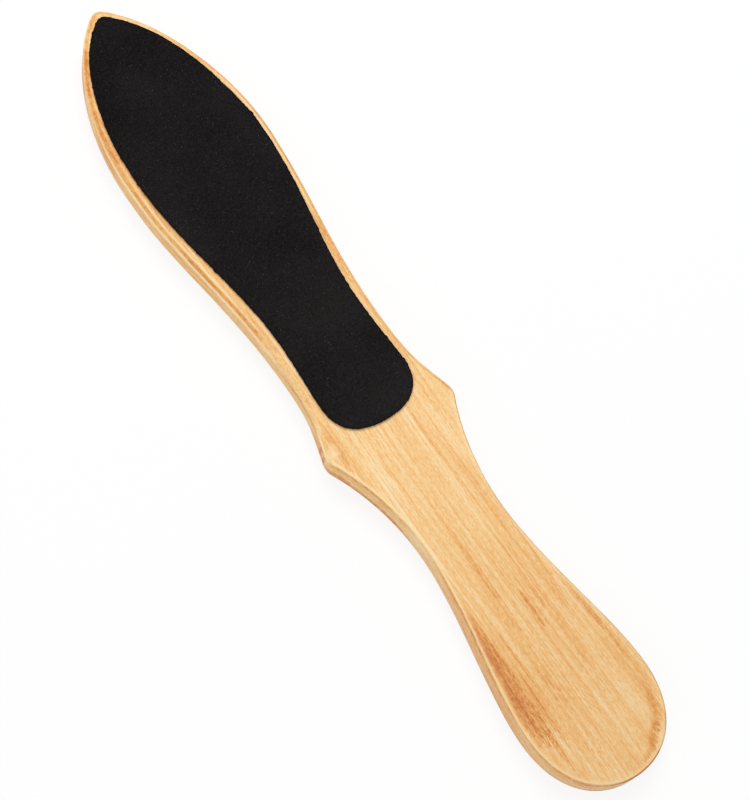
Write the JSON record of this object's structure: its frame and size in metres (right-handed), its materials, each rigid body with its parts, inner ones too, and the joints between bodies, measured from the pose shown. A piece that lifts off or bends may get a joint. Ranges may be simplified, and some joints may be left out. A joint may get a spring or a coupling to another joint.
{
  "type": "foot file",
  "caption": "Flat wooden foot file with a leaf-shaped blade, pointed shoulders, a waisted grip with a rounded end, and an abrasive sheet on each face of the blade.",
  "frame": {"origin": "centre of the outline's bounding box, at the face of the rear abrasive sheet that the file lies on", "axes": "+Y along the board towards the tip of the blade, +Z out of the front face, +X across the board"},
  "size_m": [0.0434, 0.25, 0.0078],
  "materials": {
    "lacquered_pine": "satin lacquer over straight softwood grain",
    "adhesive_film": "clear pressure-sensitive film",
    "backing_paper": "dark latex-treated paper",
    "coarse_grit": "black silicon carbide grains in resin",
    "fine_grit": "dark grey fine silicon carbide grains in resin"
  },
  "bodies": {
    "root": {"wooden_board": "lacquered_pine", "front_adhesive": "adhesive_film", "front_backing": "backing_paper", "front_grit": "coarse_grit", "rear_adhesive": "adhesive_film", "rear_backing": "backing_paper", "rear_grit": "fine_grit"}
  },
  "joints": []
}
